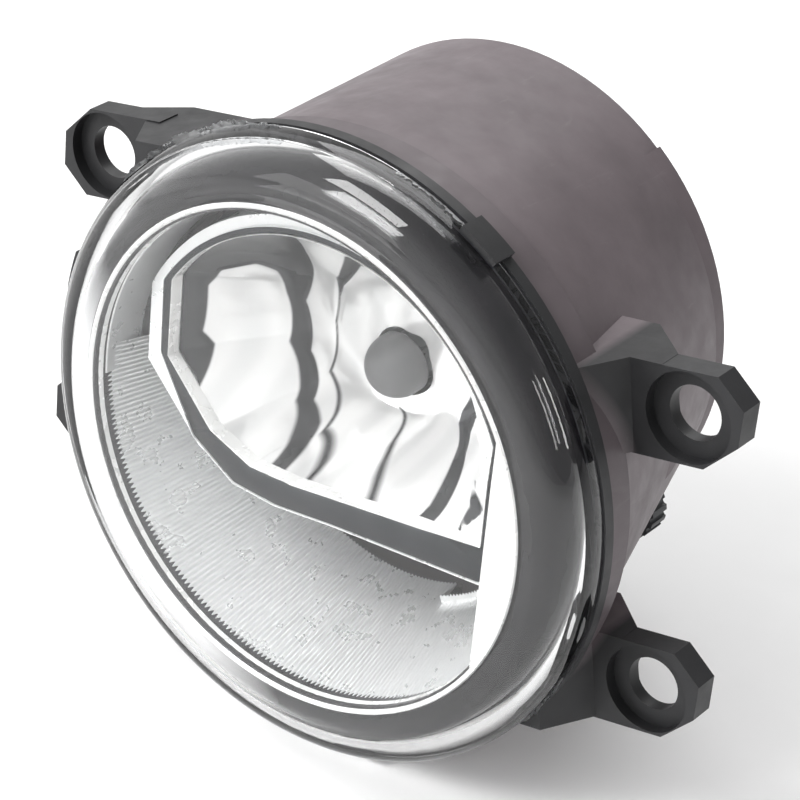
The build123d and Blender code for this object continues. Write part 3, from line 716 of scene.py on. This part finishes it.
# ---------------------------------------------------------------- filament coil
def coiled_wire(low, high, coil_radius=0.00062, wire_radius=0.00016):
    """Points and faces of a wire coiled along Y between two corners of a box."""
    turns, around, per_turn = 9, 6, 20
    length = (high.y - low.y) * 0.96
    points, faces = [], []
    for i in range(turns * per_turn + 1):
        t = i / (turns * per_turn)
        angle = 2 * math.pi * turns * t
        out = Vector((math.cos(angle), 0, math.sin(angle)))
        centre = Vector((bulb_x, low.y + 0.0001 + length * t, bulb_z)) + out * coil_radius
        for k in range(around):
            turn = 2 * math.pi * k / around
            ring = out * math.cos(turn) + Vector((0, 1, 0)) * math.sin(turn)
            points.append(centre + ring * wire_radius)
    for i in range(turns * per_turn):
        for k in range(around):
            a = i * around + k
            b = i * around + (k + 1) % around
            faces.append((a, b, b + around, a + around))
    return points, faces


coil_points, coil_faces = coiled_wire(*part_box("bulb_filament"))
coil = mesh_object("filament_coil", coil_points, coil_faces, [tungsten_mat], "bulb",
                   crease_angle=80)
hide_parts("bulb_filament")


# ---------------------------------------------------------------- floor, lights and camera
def lay_floor(z, half=6.0):
    mat = moulded("floor_pale", (0.94, 0.94, 0.94), (0.96, 0.96, 0.96), (0.6, 0.7), grain=300,
                  grain_depth=0.01)
    corners = [(-half, -half, z), (half, -half, z), (half, half, z), (-half, half, z)]
    mesh = bpy.data.meshes.new("floor")
    mesh.from_pydata(corners, [], [(0, 1, 2, 3)])
    mesh.materials.append(mat)
    floor = bpy.data.objects.new("floor", mesh)
    bpy.context.scene.collection.objects.link(floor)


def studio_sky():
    """White surroundings that fall off to grey on the right, behind and above."""
    world = bpy.context.scene.world or bpy.data.worlds.new("studio")
    bpy.context.scene.world = world
    world.use_nodes = True
    sky = world.node_tree
    background = sky.nodes["Background"]
    background.inputs["Strength"].default_value = 1.12
    heading = sky.nodes.new("ShaderNodeTexCoord")
    toward = sky.nodes.new("ShaderNodeVectorMath")
    toward.operation = "DOT_PRODUCT"
    toward.inputs[1].default_value = (0.78, 0.42, 0.46)
    sky.links.new(heading.outputs["Generated"], toward.inputs[0])
    shade = sky.nodes.new("ShaderNodeMapRange")
    shade.inputs["From Min"].default_value = -0.25
    shade.inputs["From Max"].default_value = 0.75
    sky.links.new(toward.outputs["Value"], shade.inputs["Value"])
    colour = ramp(sky, shade.outputs["Result"], [(0.0, 1.05), (0.55, 0.5), (1.0, 0.28)])
    sky.links.new(colour, background.inputs["Color"])


def lamp(name, place, target, size, power):
    data = bpy.data.lights.new(name, "AREA")
    data.shape = "RECTANGLE"
    data.size, data.size_y = size
    data.energy = power
    obj = bpy.data.objects.new(name, data)
    obj.location = place
    aim = Vector(target) - Vector(place)
    obj.rotation_euler = aim.to_track_quat("-Z", "Y").to_euler()
    bpy.context.scene.collection.objects.link(obj)


def place_camera(eye, right, up, back, focal_length):
    data = bpy.data.cameras.new("camera")
    data.sensor_width = 36.0
    data.lens = focal_length
    data.clip_start, data.clip_end = 0.01, 20.0
    camera = bpy.data.objects.new("camera", data)
    turn = Matrix((right, up, back)).transposed().to_4x4()
    camera.matrix_world = Matrix.Translation(eye) @ turn
    bpy.context.scene.collection.objects.link(camera)
    bpy.context.scene.camera = camera


low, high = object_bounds()
lay_floor(low.z - 0.0005)
studio_sky()
lamp("key", (-0.30, -0.60, 0.75), (0, 0, 0), (0.4, 0.3), 6.0)
lamp("fill", (-0.55, -0.95, 0.25), (0, 0, 0), (0.5, 0.4), 1.4)
lamp("side", (0.75, 0.05, 0.30), (0, 0.02, 0), (0.06, 0.3), 0.8)
lamp("top", (-0.25, 0.50, 0.7), (0, 0.02, 0), (0.6, 0.5), 3.4)
place_camera(
    eye=at(235.34, -319.18, 246.58),
    right=Vector((0.787875, 0.610002, 0.084561)),
    up=Vector((-0.372678, 0.36296, 0.854032)),
    back=Vector((0.490269, -0.704384, 0.513302)),
    focal_length=141.5565,
)

bpy.context.scene.view_settings.view_transform = "Standard"
